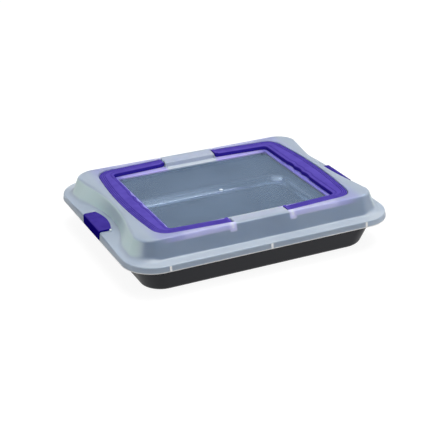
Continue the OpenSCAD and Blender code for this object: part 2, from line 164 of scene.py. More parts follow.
# the lid's parts that look different, each by its steps: which way, and where it starts and is whole. Ways
# are mm from the lid's middle, from the table, the hinges or the ribs, and how level or end-on a face is
lidParts = {
    # the end-on faces, made milkier and paler as painted light from the sides
    "ends": [("endOn", 0.55, 0.97), ("up", 55, 57)],
    "top": [("level", 0.45, 0.75), ("up", 74, 77)],
    "flange": [("level", 0.45, 0.75), ("up", 63, 60)],
    "sideFlange": [("along", 136, 146)],
    "skirt": [("up", 53.2, 52.4)],
    "recess": [("up", 70.2, 71.4), ("up", 79.9, 79.3), ("along", 129.6, 128.6), ("across", 161, 160)],
    "bridge": [("up", 72, 73), ("across", 42, 41), ("along", 108, 110), ("along", 129, 128.4)],
    "ribs": [("fromRib", 2.0, 1.2), ("along", 157, 158), ("up", 52.4, 51.6)],
    "behindWall": [("up", 71.8, 74.8), ("along", 128.2, 129), ("across", 41.5, 43), ("across", 158, 130)],
    "bosses": [("fromHinge", 6.5, 3.5), ("along", 128, 129), ("up", 68.5, 72)],
    "pins": [("fromHinge", 3, 0), ("along", 128.5, 129.5), ("up", 73, 76)],
    "ears": [("up", 56.8, 57.2), ("across", 182, 183), ("along", 37, 36)],
    "nub": [("fromCentre", 3.0, 2.0)],
    "skirtEdge": [("up", 45.6, 44.8)],
    "panel": [("along", 99, 98), ("across", 124, 123), ("fromCentre", 2.0, 3.0)],
    "lip": [("up", 78, 79), ("along", 140, 129), ("across", 38, 46), ("across", 166, 146)],
    # where the painted reflection of the handles lies, with painted shade as well by the grips
    "besideHandles": [("across", 38, 46), ("along", 117, 111), ("across", 137, 131)],
    "gripShadeAndReflection": [("across", 112, 124)],
}


def lidWays(tree, coords, hingeX, ribX):
    # distances in mm, from the absolute values of the place, and turns, from those of the normal
    inMm = addNode(tree, "ShaderNodeVectorMath", {0: coords["Object"], "Scale": 1000}, operation="SCALE")
    place = addNode(tree, "ShaderNodeVectorMath", {0: inMm.outputs[0]}, operation="ABSOLUTE")
    place = addNode(tree, "ShaderNodeSeparateXYZ", {"Vector": place.outputs[0]}).outputs
    turn = addNode(tree, "ShaderNodeVectorMath", {0: coords["Normal"]}, operation="ABSOLUTE")
    turn = addNode(tree, "ShaderNodeSeparateXYZ", {"Vector": turn.outputs[0]}).outputs
    flat = addNode(tree, "ShaderNodeCombineXYZ", {"X": place["X"], "Y": place["Y"]}).outputs[0]
    centre = addNode(tree, "ShaderNodeVectorMath", {0: flat}, operation="LENGTH").outputs["Value"]
    ways = {"across": place["X"], "along": place["Y"], "up": place["Z"], "fromCentre": centre,
            "level": turn["Z"], "endOn": turn["X"]}
    for way, x in (("fromHinge", hingeX), ("fromOuterRib", ribX)):
        beyond = addNode(tree, "ShaderNodeMath", {0: place["X"], 1: x}, operation="SUBTRACT").outputs[0]
        ways[way] = addNode(tree, "ShaderNodeMath", {0: beyond}, operation="ABSOLUTE").outputs[0]
    ways["fromRib"] = addNode(tree, "ShaderNodeMath", {0: ways["fromOuterRib"], 1: place["X"]},
                              operation="MINIMUM").outputs[0]
    return ways


def frostedPolypropylene(p, hingeX, ribX):
    # injection moulded polypropylene: milky and see-through, with a soft sheen. Its panel and long walls are
    # the clearest, and thin milky plastic over something dark looks blue. Its end-on faces are milkier and
    # paler, which is painted light from the sides. Next to the handles it has a painted reflection of their
    # colour
    material, tree, coords = startMaterial("frosted polypropylene")
    ways = lidWays(tree, coords, hingeX, ribX)
    masks = {part: partMask(tree, ways, steps) for part, steps in lidParts.items()}

    def layered(value, shares):
        # each part's share is laid over what is there before it
        for part, share in shares.items():
            value = addNode(tree, "ShaderNodeMix", {"Factor": masks[part], 2: value, 3: share}).outputs[0]
        return value

    flangeVeil = layered(p["veils"]["flange"], {"sideFlange": p["sideFlangeVeil"]})
    veil = layered(p["wallVeil"], dict(p["veils"], flange=flangeVeil))
    # painted reflection of the handles: whole on the ledge beside them, in part on the lip and by the hinges
    ledge = addNode(tree, "ShaderNodeMath", {0: masks["recess"], 1: masks["besideHandles"]},
                    operation="MULTIPLY").outputs[0]
    handleReflection = addNode(tree, "ShaderNodeMath", {0: masks["lip"], 1: p["lipHandleReflection"], 2: ledge},
                   operation="MULTIPLY_ADD", use_clamp=True).outputs[0]
    handleReflection = layered(handleReflection, p["handleReflections"])
    cloud = addNode(tree, "ShaderNodeTexNoise", {
        "Vector": coords["Object"], "Scale": 1000 / p["cloud"], "Detail": 3.0})
    uneven = addNode(tree, "ShaderNodeMapRange", {
        "Value": cloud.outputs["Fac"], "To Min": -p["uneven"], "To Max": p["uneven"]}).outputs["Result"]
    clear = addNode(tree, "ShaderNodeMath", {0: 1.0, 1: veil}, operation="SUBTRACT").outputs[0]
    clear = addNode(tree, "ShaderNodeMath", {0: clear, 1: uneven}, operation="ADD", use_clamp=True).outputs[0]

    reflectedHandleColour = addNode(tree, "ShaderNodeMix", {
        "Factor": masks["gripShadeAndReflection"], 6: srgb(p["armReflection"]), 7: srgb(p["gripShadeAndReflection"])},
        data_type="RGBA").outputs[2]
    pale = addNode(tree, "ShaderNodeMath", {0: masks["ribs"], 1: masks["skirtEdge"]},
                   operation="MAXIMUM").outputs[0]
    colour = addNode(tree, "ShaderNodeValToRGB", {"Fac": layered(clear, {"panel": p["panelTone"]})}, stops=[
        (p["milkyAt"], srgb(p["colour"])), (p["clearAt"], srgb(p["clearColour"]))]).outputs["Color"]
    # painted light on the end-on faces, the handles' painted reflection beside them, and pale ribs
    for share, other in ((masks["ends"], srgb(p["paintedEndLight"])), (handleReflection, reflectedHandleColour),
                         (pale, srgb(p["ribColour"]))):
        colour = addNode(tree, "ShaderNodeMix", {"Factor": share, 6: colour, 7: other},
                         data_type="RGBA").outputs[2]

    grain = addNode(tree, "ShaderNodeTexNoise", {
        "Vector": coords["Object"], "Scale": 1000 / p["grain"], "Detail": 2.0})
    bump = addNode(tree, "ShaderNodeBump", {
        "Height": grain.outputs["Fac"], "Strength": p["grainStrength"], "Distance": p["grainDepth"] / 1000})
    shader = addNode(tree, "ShaderNodeBsdfPrincipled", {
        "Base Color": colour, "Roughness": p["roughness"], "IOR": p["ior"],
        "Subsurface Weight": layered(1.0, {"panel": 0.0}), "Subsurface Radius": (1.0, 1.0, 1.0),
        "Subsurface Scale": p["glow"] / 1000, "Transmission Weight": layered(clear, {"panel": 0.0}),
        "Normal": bump.outputs["Normal"]})
    through = addNode(tree, "ShaderNodeBsdfTransparent", {"Color": srgb(p["throughColour"])})
    panelClear = addNode(tree, "ShaderNodeMath", {0: uneven, 1: p["panelClear"]}, operation="ADD").outputs[0]
    endMaterial(tree, addNode(tree, "ShaderNodeMixShader", {
        0: layered(0.0, {"panel": panelClear}), 1: shader.outputs[0], 2: through.outputs[0]}))
    return material


purple = {
    "colour": "#574AA5",
    "shade": "#4F429B",
    "upright": "#2C2183",        # painted shade on upright faces
    "uprightFrom": (0.8, 0.35),  # how level a face is where that painted shade starts and where it is whole
    "shadeAt": 0.35,             # where the patches have the one colour, and where the other
    "colourAt": 0.65,
    "roughness": 0.45,
    "roughnessRange": 0.05,
    "specular": 0.0,
    "cloud": 16.7,               # mm across the patches of colour and shade
    "grain": 0.7,                # mm, the moulded texture, drawn coarser than it is
    "grainDepth": 0.2,           # mm
    "grainStrength": 0.12,
}
# the clips' purple is darker, and their upright faces have painted shade too
darkPurple = dict(purple, colour="#40348D", shade="#3A2E84", upright="#150A7A")


def purplePolypropylene(p, name):
    # coloured polypropylene from a finely textured mould: even colour with painted shade on its upright
    # faces, and a broad soft highlight
    material, tree, coords = startMaterial(name)
    cloud = addNode(tree, "ShaderNodeTexNoise", {
        "Vector": coords["Object"], "Scale": 1000 / p["cloud"], "Detail": 4.0})
    colour = addNode(tree, "ShaderNodeValToRGB", {"Fac": cloud.outputs["Fac"]}, stops=[
        (p["shadeAt"], srgb(p["shade"])), (p["colourAt"], srgb(p["colour"]))])
    # painted shade: upright faces are darker than level ones
    turn = addNode(tree, "ShaderNodeSeparateXYZ", {"Vector": coords["Normal"]}).outputs["Z"]
    level = addNode(tree, "ShaderNodeMath", {0: turn}, operation="ABSOLUTE").outputs[0]
    upright = partMask(tree, {"level": level}, [("level", *p["uprightFrom"])])
    colour = addNode(tree, "ShaderNodeMix", {
        "Factor": upright, 6: colour.outputs["Color"], 7: srgb(p["upright"])}, data_type="RGBA")
    grain = addNode(tree, "ShaderNodeTexNoise", {
        "Vector": coords["Object"], "Scale": 1000 / p["grain"], "Detail": 2.0})
    rough = addNode(tree, "ShaderNodeMapRange", {
        "Value": grain.outputs["Fac"], "To Min": p["roughness"] - p["roughnessRange"],
        "To Max": p["roughness"] + p["roughnessRange"]})
    bump = addNode(tree, "ShaderNodeBump", {
        "Height": grain.outputs["Fac"], "Strength": p["grainStrength"], "Distance": p["grainDepth"] / 1000})
    endMaterial(tree, addNode(tree, "ShaderNodeBsdfPrincipled", {
        "Base Color": colour.outputs[2], "Roughness": rough.outputs["Result"],
        "Specular IOR Level": p["specular"], "Normal": bump.outputs["Normal"]}))
    return material


coating = {
    "colour": "#25262C",
    "shade": "#1F2026",
    "shadeAt": 0.4,          # where the flecks have the one colour, and where the other
    "colourAt": 0.62,
    "insideWall": "#5E626C",
    # a painted highlight along the floor's rounded edge inside: a pale colour, near metallic
    "paintedHighlightColour": "#C4CAD2",
    "paintedHighlight": 0.9,            # share of metal in the painted highlight on the floor's rounded edge
    "roughness": 0.48,
    "roughnessRange": 0.06,
    "floorRoughness": 0.2,   # polished by use
    "specular": 0.2,
    "speckle": 0.6,          # mm between the coating's fine flecks, drawn coarser than they are
    "speckleDepth": 0.1,     # mm
    "speckleStrength": 0.1,
}

# the pan's parts that look different, by steps as in the lid's: mm from the table, and how far a face
# looks up
panParts = {
    "floor": [("facing", 0.1, 0.3), ("up", 16, 10)],
    # the floor's rounded edge, where the painted highlight lies
    "floorEdge": [("facing", 0.1, 0.3), ("up", 16, 10), ("up", 0.8, 1.4)],
    "insideWall": [("facing", 0.1, 0.3), ("up", 9, 16), ("up", 48, 42)],
}


def coatedSteel(p):
    # pressed steel with a sprayed non-stick coating: near black, satin, with a faint fleck, and a painted
    # highlight along the inside floor's rounded edge
    material, tree, coords = startMaterial("non-stick coated steel")
    height = addNode(tree, "ShaderNodeSeparateXYZ", {"Vector": coords["Object"]}).outputs["Z"]
    ways = {
        "up": addNode(tree, "ShaderNodeMath", {0: height, 1: 1000}, operation="MULTIPLY").outputs[0],
        "facing": addNode(tree, "ShaderNodeSeparateXYZ", {"Vector": coords["Normal"]}).outputs["Z"]}
    masks = {part: partMask(tree, ways, steps, "LINEAR") for part, steps in panParts.items()}
    fleck = addNode(tree, "ShaderNodeTexNoise", {
        "Vector": coords["Object"], "Scale": 1000 / p["speckle"], "Detail": 3.0}).outputs["Fac"]
    colour = addNode(tree, "ShaderNodeValToRGB", {"Fac": fleck}, stops=[
        (p["shadeAt"], srgb(p["shade"])), (p["colourAt"], srgb(p["colour"]))]).outputs["Color"]
    # lighter grey inside walls, and the painted highlight on the floor's rounded edge
    for part, other in (("insideWall", p["insideWall"]), ("floorEdge", p["paintedHighlightColour"])):
        colour = addNode(tree, "ShaderNodeMix", {"Factor": masks[part], 6: colour, 7: srgb(other)},
                         data_type="RGBA").outputs[2]
    paintedHighlight = addNode(tree, "ShaderNodeMath", {0: masks["floorEdge"], 1: p["paintedHighlight"]}, operation="MULTIPLY")
    gloss = addNode(tree, "ShaderNodeMix", {
        "Factor": masks["floor"], 2: p["roughness"], 3: p["floorRoughness"]}).outputs[0]
    uneven = addNode(tree, "ShaderNodeMapRange", {
        "Value": fleck, "To Min": -p["roughnessRange"], "To Max": p["roughnessRange"]}).outputs["Result"]
    rough = addNode(tree, "ShaderNodeMath", {0: gloss, 1: uneven}, operation="ADD")
    bump = addNode(tree, "ShaderNodeBump", {
        "Height": fleck, "Strength": p["speckleStrength"], "Distance": p["speckleDepth"] / 1000})
    endMaterial(tree, addNode(tree, "ShaderNodeBsdfPrincipled", {
        "Base Color": colour, "Roughness": rough.outputs[0], "Metallic": paintedHighlight.outputs[0],
        "Specular IOR Level": p["specular"], "Normal": bump.outputs["Normal"]}))
    return material


def mix(a, b, t):
    return a + (b - a) * t


def eased(t):
    # 3t^2 - 2t^3, held at 0 and 1 beyond them
    t = np.clip(t, 0, 1)
    return t * t * (3 - 2 * t)


def softMin(a, b, width):
    # the lower of a and b, less (width - |a - b|)^2 / (4 width) where they are close
    return np.minimum(a, b) - np.maximum(width - np.abs(a - b), 0) ** 2 / (4 * width)


def arc(cx, cy, r, start, end, steps):
    # c + r (cos a, sin a), in degrees
    a = np.radians(np.linspace(start, end, steps + 1))
    return np.stack([cx + r * np.cos(a), cy + r * np.sin(a)], 1)


def bend(a, c, b, steps):
    # (1-t)^2 a + 2t(1-t) c + t^2 b
    t = np.linspace(0, 1, steps + 1)[:, None]
    return (1 - t) ** 2 * np.array(a) + 2 * t * (1 - t) * np.array(c) + t * t * np.array(b)


def whole(quarter):
    # the quarter runs from the X axis round towards the Y axis; mirrored in X, then both in Y
    q = np.asarray(quarter, float)
    left = q[::-1] * [-1, 1]
    return np.concatenate([q, left, (q * [-1, -1])[1:], (left * [-1, -1])[:-1]])


def lift(outline, z):
    return np.column_stack([outline, np.broadcast_to(z, len(outline))])


def roundRings(rings, radii):
    # each ring with a radius becomes a curve (1-t)^2 a + 2t(1-t) ring + t^2 b, where a and b lie that far
    # along the way to its neighbours; one more ring on each side, hold beyond them, keeps the flat parts
    # flat. A radius is one number, or one for each point of the ring
    hold = 0.25
    out = []
    for k, (ring, r) in enumerate(zip(rings, radii)):
        r = np.reshape(r, (-1, 1))
        if not r.any() or k in (0, len(rings) - 1):
            out.append(ring)
            continue
        ends = []
        for other in (rings[k - 1], rings[k + 1]):
            step = other - ring
            far = np.linalg.norm(step, axis=1, keepdims=True)
            unit = step / np.maximum(far, 1e-6)
            ends.append((ring + unit * np.minimum(r, 0.48 * far),
                         ring + unit * np.minimum(r + hold, 0.49 * far)))
        (a, holdA), (b, holdB) = ends
        steps = 3 if r.max() < 1.2 else 5 if r.max() < 4 else 9
        out.append(holdA)
        out.extend((1 - t) ** 2 * a + 2 * t * (1 - t) * ring + t * t * b
                   for t in np.linspace(0, 1, steps + 1))
        out.append(holdB)
    return out


def loftMesh(name, rings):
    # quads between neighbouring rings, which are in mm, and a face at each end
    points = np.concatenate(rings) / 1000
    count, m = len(rings[0]), len(rings)
    k, i = np.meshgrid(np.arange(m - 1), np.arange(count), indexing="ij")
    a, b = k * count, (k + 1) * count
    j = (i + 1) % count
    quads = np.stack([a + i, a + j, b + j, b + i], -1).reshape(-1, 4)
    caps = [list(range(count))[::-1], [(m - 1) * count + n for n in range(count)]]
    mesh = bpy.data.meshes.new(name)
    mesh.from_pydata(points.tolist(), [], quads.tolist() + caps)
    mesh.validate()
    obj = bpy.data.objects.new(name, mesh)
    scene.collection.objects.link(obj)
    return obj


def boxRings(low, high):
    # a box as two rings of four points
    (x0, y0, z0), (x1, y1, z1) = low, high
    base = np.array([[x0, y0], [x1, y0], [x1, y1], [x0, y1]], float)
    return [lift(base, z0), lift(base, z1)]


def rodRings(centre, radius, length, edge=0.25, steps=40):
    # a rod along Y with a small chamfer at each end
    a = np.radians(np.linspace(0, 360, steps, endpoint=False))
    half = length / 2
    rings = []
    for y, r in ((-half, radius - edge), (-half + edge, radius),
                 (half - edge, radius), (half, radius - edge)):
        rings.append(np.stack([centre[0] + r * np.cos(a), np.full(steps, centre[1] + y),
                               centre[2] - r * np.sin(a)], 1))
    return rings


def fixNormals(obj):
    bm = bmesh.new()
    bm.from_mesh(obj.data)
    bmesh.ops.remove_doubles(bm, verts=bm.verts, dist=1e-6)
    bmesh.ops.recalc_face_normals(bm, faces=bm.faces)
    bm.to_mesh(obj.data)
    bm.free()


def joinMeshes(base, parts, name, operation="UNION"):
    # boolean of the base with each part, one after the other
    for part in parts:
        modifier = base.modifiers.new("join", "BOOLEAN")
        modifier.operation = operation
        modifier.solver = "MANIFOLD"
        modifier.object = part
        bpy.context.view_layer.update()
        evaluated = base.evaluated_get(bpy.context.evaluated_depsgraph_get())
        mesh = bpy.data.meshes.new_from_object(evaluated)
        base.modifiers.clear()
        base.data = mesh
        bpy.data.objects.remove(part)
    base.name = name
    return base


def finish(obj, material, node, body, sharp=32):
    mesh = obj.data
    mesh.shade_smooth()
    mesh.set_sharp_from_angle(angle=math.radians(sharp))
    mesh.materials.clear()
    mesh.materials.append(material)
    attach(obj, body)
    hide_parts(node)
    print(obj.name, "made,", len(mesh.polygons), "faces")


# sizes of the lid, of the right handle and of the right clip, mm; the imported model's, or finer where the
# photo showed more
lid = {
    "skirtX": 202.5, "skirtY": 162.5, "wall": 1.6, "cornerR": 46.0, "spread": 1.2,
    "skirtZ": 44.0, "flangeZ": 53.4, "topZ": 80.0, "recessZ": 72.5, "panelZ": 69.5,
    "baseX": 190.0, "baseY": 144.5, "domeX": 181.0, "domeY": 134.0, "domeR": 34.0, "domeTopR": 26.0,
    "scoopX": 169.5, "scoopTopX": 168.0, "scoopR": 170.0, "scoopTopR": 420.0, "scoopBlend": 6.0,
    "rise": 3.0, "riseFrom": 37.5, "riseTo": 110.5,
    "panelX": 121.6, "panelY": 97.044, "panelR": 8.0,
    "bridgeHalf": 41.0, "bridgeInner": 111.0,
    "bridgeFall": (          # out from the panel, out from the bridge's inner edge, down from the top, radius
        (7.4, 6.0, 0.9, 0.5), (6.8, 5.0, 0.5, 0.4), (6.0, 0.4, 1.6, 0.8)),
    "flangeEdgeR": 1.8, "domeEdgeR": 2.4, "endEdgeR": 4.2, "footR": 1.6, "endFootR": 8.0, "lipR": 0.7,
    "footFrom": 150.0, "edgeFrom": 152.0,       # X where the ends' wider foot and edge start
    "endTo": 170.0,                             # and where they are whole
    "clipEnd": 42.0, "clipFade": 40.0,          # Y where the foot starts to widen, and over how much
    "bossHalf": 4.5, "bossDrop": 1.4, "bossShy": 0.85, "sunk": 0.8, "boreGap": 0.08,
    "ribX": 150.0, "ribHalf": 0.8, "ribY": (159.3, 161.0), "ribZ": (44.8, 52.6),
    "gateR": 1.4, "gateTopR": 1.0, "gateStep": 0.25, "gateH": 0.5,
}
handle = {
    "hingeX": 46.0, "hingeY": 127.0, "hingeZ": 76.5, "gripOut": 158.1, "gripIn": 128.6,
    "bulgeR": 760.0, "lean": 0.06, "corner": 21.0, "armW": 16.0, "thick": 7.0,
    "pitch": 23.0, "scallop": 2.2, "scallops": 3, "innerCorner": 7.0, "wall": 2.0, "gap": 0.8,
    "grooves": (2.9, 5.7, 8.5), "lineIn": 5.0, "grooveD": 0.8,
    "pinR": 2.0, "pinLen": 4.0, "knuckleR": 3.4, "armStart": 2.8, "armEndDrop": 0.45,
    "ribT": 1.2, "ribPitch": 20.0, "ribDrop": (2.4, 6.2),
}
clip = {
    "axisX": 185.5, "axisZ": 57.7, "length": 64.0, "edgeX": 178.5, "arcR": 86.0, "play": 0.4,
    "pinR": 0.9, "pinLen": 2.6, "earR": 1.75, "earW": 3.0, "earGap": 0.1, "seatZ": 56.4, "slotBack": 1.9,
    "notchX": 198.0, "notchDeep": 6.0, "notchZ": (43.0, 58.4),
    "softR": 0.5, "softAngle": 35, "softSteps": 3,
}
sideSteps = 40
bendSteps = 16

lidMaterial = frostedPolypropylene(frosted, handle["hingeX"], lid["ribX"])
handleMaterial = purplePolypropylene(purple, "purple polypropylene")
clipMaterial = purplePolypropylene(darkPurple, "dark purple polypropylene")
panMaterial = coatedSteel(coating)
print("materials made")


# the right handle's outer edge: its arm leans in by lean, and its grip is a shallow arc
def armOut(x):
    return handle["hingeY"] - handle["lean"] * (x - handle["hingeX"])


def gripEdge(y):
    return handle["gripOut"] - y * y / (2 * handle["bulgeR"])


def handleCorner(h):
    # the arm's line and the grip's tangent meet at (x, armOut(x)), and a curve rounds that corner off
    y = armOut(h["gripOut"]) - h["corner"]
    slope = y / h["bulgeR"]
    x = (gripEdge(y) - slope * (armOut(0) - y)) / (1 - slope * h["lean"])
    start = x - h["corner"]
    return start, y, bend((start, armOut(start)), (x, armOut(x)), (gripEdge(y), y), bendSteps)


cornerStart, cornerY, outerBend = handleCorner(handle)


def alongColumns(y, bridge):
    # columns of a lid ring from the hinge to the middle: two stand at the bridge's end
    return [[handle["hingeX"], y], [bridge + 0.25, y], [bridge - 0.05, y], [bridge / 2, y]]


def scoopedRing(hx, hy, r, sx, sr, bridge):
    # a rounded rectangle whose short sides run no further out than sx + sr - sqrt(sr^2 - y^2)
    y = np.arange(sideSteps) / sideSteps * (hy - r)
    side = np.stack([softMin(hx, sx + sr - np.sqrt(sr * sr - y * y), lid["scoopBlend"]), y], 1)
    return whole(np.concatenate([side, arc(hx - r, hy - r, r, 0, 90, bendSteps), alongColumns(hy, bridge)]))


def plainRing(hx, hy, r, bridge):
    return scoopedRing(hx, hy, r, 2 * hx, 4 * hy, bridge)


def domeRing(z, inset, bridge):
    t = (z - lid["flangeZ"]) / (lid["topZ"] - lid["flangeZ"])
    return scoopedRing(mix(lid["baseX"], lid["domeX"], t) - inset, mix(lid["baseY"], lid["domeY"], t) - inset,
                       mix(lid["domeR"], lid["domeTopR"], t) - inset,
                       mix(lid["scoopX"], lid["scoopTopX"], t) - inset,
                       mix(lid["scoopR"], lid["scoopTopR"], t) + inset, bridge)


def skirtRing(t, inset, bridge):
    return plainRing(lid["skirtX"] - lid["spread"] * t - inset, lid["skirtY"] - lid["spread"] * t - inset,
                     lid["cornerR"] - inset, bridge)


def recessRing(grow, bridge):
    # the handles' outer edge, each point moved out along the normal of its neighbours
    y = np.arange(sideSteps) / sideSteps * cornerY
    points = np.concatenate([np.stack([gripEdge(y), y], 1), outerBend[::-1],
                             alongColumns(handle["hingeY"], bridge)])
    along = np.concatenate([[[0.0, 1.0]], points[2:] - points[:-2], [[-1.0, 0.0]]])
    along[-5:] = [-1, 0]
    normal = np.stack([along[:, 1], -along[:, 0]], 1) / np.linalg.norm(along, axis=1, keepdims=True)
    return whole(points + grow * normal)


def panelRing(grow, bridge):
    return plainRing(lid["panelX"] + grow, lid["panelY"] + grow, lid["panelR"] + grow, bridge)


def liftFlange(outline, z):
    # the flange climbs by a half cosine from riseTo to riseFrom
    t = np.clip((np.abs(outline[:, 1]) - lid["riseFrom"]) / (lid["riseTo"] - lid["riseFrom"]), 0, 1)
    return np.column_stack([outline, z + lid["rise"] * (1 + np.cos(np.pi * t)) / 2])


def endShare(ring, start):
    # 0 on the long sides, 1 on the short ones
    return eased((np.abs(ring[:, 0]) - start) / (lid["endTo"] - start))


def clipFar(ring):
    # 0 next to the clip, 1 from the corners on
    return eased((np.abs(ring[:, 1]) - lid["clipEnd"]) / lid["clipFade"])


def bridged(ring, y, z, bridge):
    # the columns within the bridge move to their place on it
    out = ring.copy()
    inside = np.abs(ring[:, 0]) < bridge
    out[inside, 1] = np.sign(ring[inside, 1]) * y
    out[inside, 2] = z
    return out


def buildLid(p):
    # rings from under the panel out to the skirt and back over the top, each with the radius that rounds it
    w, top, floor, panel = p["wall"], p["topZ"], p["recessZ"], p["panelZ"]
    roof, under = top - w, p["flangeZ"] - w
    wallRun = w * math.sqrt(1 + ((p["baseY"] - p["domeY"]) / (top - p["flangeZ"])) ** 2)
    grown = handle["gap"] + w
    inB, outB = p["bridgeHalf"] - w, p["bridgeHalf"]
    inner = p["bridgeInner"]
    roofRing, footUnder = domeRing(roof, wallRun, inB), domeRing(p["flangeZ"], wallRun - 0.3, inB)
    topRing, footRing = domeRing(top, 0, outB), domeRing(p["flangeZ"], 0, outB)
    endMore = p["endEdgeR"] - p["domeEdgeR"]
    footFill = (p["endFootR"] - p["footR"]) * endShare(footRing, p["footFrom"]) * clipFar(footRing)
    underside = [
        (lift(panelRing(w, inB), panel - w), 0.8),
        (lift(panelRing(w, inB), floor - w), 0.6),
        (bridged(lift(panelRing(4.0, inB), floor - w), inner + w, floor - w, inB), 0.6),
        (bridged(lift(panelRing(6.0, inB), floor - w), inner + w + 0.2, roof, inB), 0.6),
        (bridged(lift(recessRing(grown, inB), floor - w), handle["hingeY"] - 4, roof, inB), 0.8),
        (lift(recessRing(grown, inB), roof), 0.5),
        (lift(roofRing, roof), 0.9 + 0.6 * endMore * endShare(roofRing, p["edgeFrom"])),
        (liftFlange(footUnder, under), 1.2 + 1.1 * footFill),
        (liftFlange(skirtRing(1, w, inB), under), 0.8),
        (lift(skirtRing(0, w, inB), p["skirtZ"]), 0.4)]
    outside = [
        (lift(skirtRing(0, 0, outB), p["skirtZ"]), 0.5),
        (liftFlange(skirtRing(1, 0, outB), p["flangeZ"]), p["flangeEdgeR"]),
        (liftFlange(footRing, p["flangeZ"]), p["footR"] + footFill),
        (lift(topRing, top), p["domeEdgeR"] + endMore * endShare(topRing, p["edgeFrom"]))]
    # the bridge, from the lip in: flat top, a fine line, a fall to its inner edge, and its steep inner face
    lip = recessRing(handle["gap"], outB)
    upper = [
        (lift(lip, top), p["lipR"]),
        (bridged(lift(lip, floor), inner + 7.0, top - 0.2, outB), 0.5),
        *[(bridged(lift(panelRing(grow, outB), floor), inner + out, top - drop, outB), r)
          for grow, out, drop, r in p["bridgeFall"]],
        (bridged(lift(panelRing(4.0, outB), floor), inner - 1.2, floor, outB), 0.5),
        (lift(panelRing(0, outB), floor), 0.9),
        (lift(panelRing(-0.4, outB), panel), 0.9),
        (lift(panelRing(-1.8, outB), panel), 0)]
    chain = underside + outside + upper
    return loftMesh("lid shell", roundRings([ring for ring, r in chain], [r for ring, r in chain]))


def clipEar(c, sx, sy):
    # a round ear over a square foot, at one end of the clip's pin
    y = sy * (c["length"] / 2 + c["play"] + c["earGap"] + c["earW"] / 2)
    half = c["earW"] / 2
    return [
        loftMesh("ear", rodRings((sx * c["axisX"], y, c["axisZ"]), c["earR"], c["earW"])),
        loftMesh("ear foot", boxRings((sx * c["axisX"] - c["earR"], y - half, c["seatZ"] - lid["sunk"]),
                                      (sx * c["axisX"] + c["earR"], y + half, c["axisZ"])))]


def hingeBoss(p, h, sx, sy):
    # the block round a hinge bore: it fills the space between the recess's wall and the leaning dome wall
    low, high = p["recessZ"] - p["sunk"], p["topZ"] - p["sunk"]
    wallY = [mix(p["baseY"], p["domeY"], (z - p["flangeZ"]) / (p["topZ"] - p["flangeZ"])) - p["bossShy"]
             for z in (low, high)]
    innerY, top = h["hingeY"] + h["gap"] + p["wall"] / 2, p["topZ"] - p["bossDrop"]
    ends = [lift([[sx * h["hingeX"] + dx, sy * y] for y in (innerY, *wallY, innerY)], [low, low, top, top])
            for dx in (-p["bossHalf"], p["bossHalf"])]
    return loftMesh("boss", ends if sy < 0 else ends[::-1])


def hingeBore(p, h, sx, sy):
    return loftMesh("bore", rodRings((sx * h["hingeX"], sy * (h["hingeY"] + 2), h["hingeZ"]),
                                     h["pinR"] + p["boreGap"], h["pinLen"] + 0.8))


def clipCuts(p, c, sx):
    # the clip's pin bore, the slot for its tail and the notch for its front. The slot is the clip's curved
    # outline grown by its play, back to just past the hinge
    half, r = c["length"] / 2 + c["play"], c["arcR"] + c["play"]
    y = np.linspace(half, -half, 41)
    x = c["edgeX"] + c["arcR"] - np.sqrt(r * r - y * y)
    back = c["axisX"] + c["slotBack"]
    slot = np.concatenate([np.stack([x, y], 1), [[back, -half], [back, half]]]) * [sx, 1]
    notch = sorted((sx * c["notchX"], sx * (c["notchX"] + c["notchDeep"])))
    return [
        loftMesh("pin bore", rodRings((sx * c["axisX"], 0, c["axisZ"]), c["pinR"] + p["boreGap"],
                                      c["length"] + 2 * c["pinLen"] + 0.4)),
        loftMesh("slot", [lift(slot, c["seatZ"] - 3), lift(slot, c["seatZ"] + 1)]),
        loftMesh("notch", boxRings((notch[0], -half, c["notchZ"][0]), (notch[1], half, c["notchZ"][1])))]


def skirtRib(p, x, sy):
    low, high = sorted(sy * y for y in p["ribY"])
    return loftMesh("rib", boxRings((x - p["ribHalf"], low, p["ribZ"][0]),
                                    (x + p["ribHalf"], high, p["ribZ"][1])))


def gateNub(p):
    a = np.radians(np.linspace(0, 360, 32, endpoint=False))
    circle = np.stack([np.cos(a), np.sin(a)], 1)
    return loftMesh("gate", [lift(p["gateR"] * circle, p["panelZ"] - p["gateH"]),
                             lift(p["gateR"] * circle, p["panelZ"] + p["gateStep"]),
                             lift(p["gateTopR"] * circle, p["panelZ"] + p["gateH"])])


def addLidDetails(shell, p, h, c):
    adds, cuts = [], []
    for sx in (-1, 1):
        for sy in (-1, 1):
            adds += [*clipEar(c, sx, sy), hingeBoss(p, h, sx, sy)]
            cuts.append(hingeBore(p, h, sx, sy))
        cuts += clipCuts(p, c, sx)
    adds += [skirtRib(p, k * p["ribX"], sy) for k in (-1, 0, 1) for sy in (-1, 1)]
    adds.append(gateNub(p))
    for part in adds + cuts:
        fixNormals(part)
    joinMeshes(shell, adds, "lid shell")
    return joinMeshes(shell, cuts, "frostedLid", "DIFFERENCE")


lidPiece = buildLid(lid)
fixNormals(lidPiece)
addLidDetails(lidPiece, lid, handle, clip)
finish(lidPiece, lidMaterial, "lid", "base")


pan = {
    "height": 51.5, "sheet": 0.6, "wallAngle": 19.5, "floorEdgeR": 10.0, "floorR": 26.0, "mouthR": 36.0,
    "rimX": 197.6, "rimY": 159.0, "rimW": 10.0, "beadR": 1.7, "floorIn": 40.0,
    "flatSteps": 12, "cornerSteps": 24, "beadSteps": 18,
}


